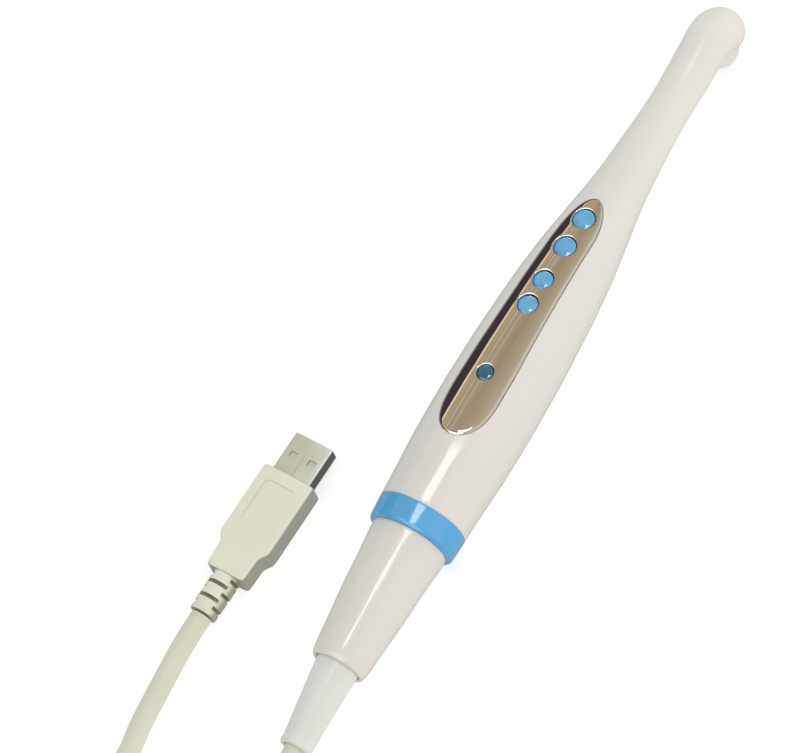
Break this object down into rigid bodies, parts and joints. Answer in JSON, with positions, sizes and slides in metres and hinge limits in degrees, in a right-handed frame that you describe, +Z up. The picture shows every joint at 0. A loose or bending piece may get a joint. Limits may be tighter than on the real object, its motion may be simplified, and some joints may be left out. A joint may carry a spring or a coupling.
{
  "type": "intraoral camera",
  "caption": "Pen-shaped dental camera: buttons in a leaf-shaped chrome panel, a lens under the slim head and a blue trim ring, on a coiled USB cord with its plug.",
  "frame": {"origin": "bottom centre of the handpiece's own bounding box, on the table, without the cord and plug", "axes": "+X along the handpiece toward the head, +Z up on the button side, +Y to the plug's side"},
  "size_m": [0.3728, 0.096, 0.0283],
  "materials": {
    "pearl_white": "gloss pearl white",
    "chrome": "polished, warm grey",
    "cap_blue": "translucent blue, polished",
    "ring_blue": "satin blue",
    "smoke_blue": "smoky translucent blue",
    "boot_clear": "translucent grey white, flexible",
    "ring_clear": "milky translucent",
    "glass": "polished clear",
    "beige": "satin beige soft plastic",
    "board_green": "solder resist",
    "chip_black": "matte moulding",
    "sensor_dark": "coated cover",
    "dark_plastic": "matte black",
    "white_plastic": "matte white",
    "led_yellow": "phosphor yellow",
    "flex_amber": "amber film",
    "steel": "nickel plated",
    "aluminium": "matte anodised",
    "brass": "machined",
    "gold": "gold plated",
    "loom_grey": "grey sheath",
    "tie_black": "woven black"
  },
  "bodies": {
    "handpiece": {"upper_shell": "pearl_white", "lower_shell": "pearl_white", "chrome_panel": "chrome", "indicator_lens": "smoke_blue", "indicator_led": "led_yellow", "key_board": "board_green", "main_board": "board_green", "board_frame": "aluminium", "board_link": "dark_plastic", "video_chip": "chip_black", "usb_chip": "chip_black", "flex_connector": "white_plastic", "cord_connector": "white_plastic", "board_screw_1": "steel", "board_screw_2": "steel", "flex_cable": "flex_amber", "sensor_board": "board_green", "image_sensor": "sensor_dark", "lens_holder": "dark_plastic", "lens_barrel": "aluminium", "front_lens": "glass", "rear_lens": "glass", "led_board": "board_green", "led_1": "led_yellow", "led_2": "led_yellow", "led_3": "led_yellow", "led_4": "led_yellow", "lens_ring": "ring_clear", "lens_window": "glass", "blue_ring": "ring_blue", "tail_sleeve": "pearl_white", "threaded_collar": "brass", "cord_boot": "boot_clear", "cord_clamp": "steel", "cord_end": "beige", "wire_loom": "loom_grey", "cord_lead": "beige", "cord_coil": "beige", "cord_plug_lead": "beige", "coil_tie": "tie_black", "plug_overmould": "beige", "plug_shell": "steel", "plug_insulator": "white_plastic", "switch_body_1": "dark_plastic", "plug_contact_1": "gold", "switch_body_2": "dark_plastic", "plug_contact_2": "gold", "switch_body_3": "dark_plastic", "plug_contact_3": "gold", "switch_body_4": "dark_plastic", "plug_contact_4": "gold"},
    "button_1": {"button_cap_1": "cap_blue", "switch_plunger_1": "dark_plastic"},
    "button_2": {"button_cap_2": "cap_blue", "switch_plunger_2": "dark_plastic"},
    "button_3": {"button_cap_3": "cap_blue", "switch_plunger_3": "dark_plastic"},
    "button_4": {"button_cap_4": "cap_blue", "switch_plunger_4": "dark_plastic"}
  },
  "joints": [
    {"name": "button_1_press", "type": "slide", "parent": "handpiece", "child": "button_1", "axis": [-0.1063, 0, -0.9943], "range_m": [0, 0.0006], "stiffness_N_per_m": 400, "springref_m": -0.0008},
    {"name": "button_2_press", "type": "slide", "parent": "handpiece", "child": "button_2", "axis": [-0.1063, 0, -0.9943], "range_m": [0, 0.0006], "stiffness_N_per_m": 400, "springref_m": -0.0008},
    {"name": "button_3_press", "type": "slide", "parent": "handpiece", "child": "button_3", "axis": [-0.1063, 0, -0.9943], "range_m": [0, 0.0006], "stiffness_N_per_m": 400, "springref_m": -0.0008},
    {"name": "button_4_press", "type": "slide", "parent": "handpiece", "child": "button_4", "axis": [-0.1063, 0, -0.9943], "range_m": [0, 0.0006], "stiffness_N_per_m": 400, "springref_m": -0.0008}
  ]
}
